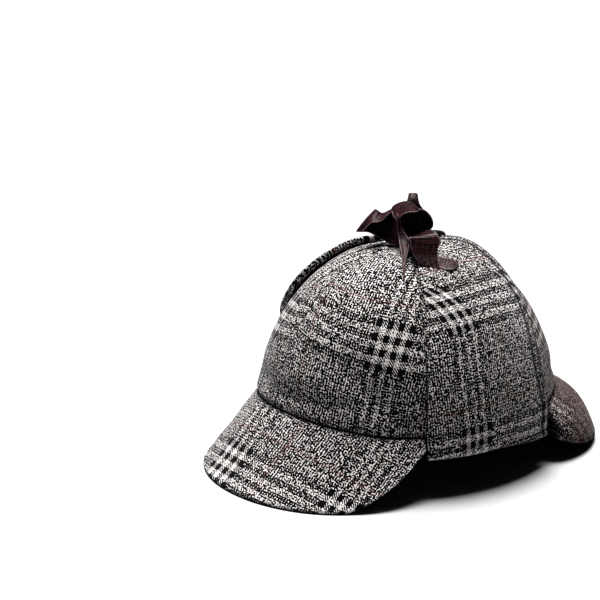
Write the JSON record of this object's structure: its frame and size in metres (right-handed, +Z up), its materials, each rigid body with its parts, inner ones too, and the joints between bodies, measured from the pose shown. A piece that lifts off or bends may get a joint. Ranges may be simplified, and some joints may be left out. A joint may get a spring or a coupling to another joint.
{
  "type": "deerstalker hat",
  "caption": "Glen-plaid wool deerstalker with a gored crown, a peak at front and back, ear flaps folded up over the sides and a brown ribbon bow tied on top.",
  "frame": {"origin": "on the standing plane, under the middle of the hat's box", "axes": "+Z up; the hat's front faces -Y; +X is the wearer's left"},
  "size_m": [0.1776, 0.2732, 0.1654],
  "materials": {
    "plaid_wool": "matt wool twill in black and off-white yarn, woven as a glen check",
    "brown_ribbon": "dark brown ribbon with fine cross ribs and a soft sheen"
  },
  "bodies": {
    "root": {"crown_front_left": "plaid_wool", "crown_front_right": "plaid_wool", "crown_side_left": "plaid_wool", "crown_side_right": "plaid_wool", "crown_back_left": "plaid_wool", "crown_back_right": "plaid_wool", "front_brim": "plaid_wool", "rear_brim": "plaid_wool", "ear_flap_left": "plaid_wool", "ear_flap_right": "plaid_wool", "flap_tie_left": "brown_ribbon", "flap_tie_right": "brown_ribbon", "bow_knot": "brown_ribbon", "bow_loop": "brown_ribbon", "ribbon_end_up": "brown_ribbon", "ribbon_end_left": "brown_ribbon", "ribbon_end_narrow": "brown_ribbon", "ribbon_end_broad": "brown_ribbon", "ribbon_end_lying": "brown_ribbon"}
  },
  "joints": []
}
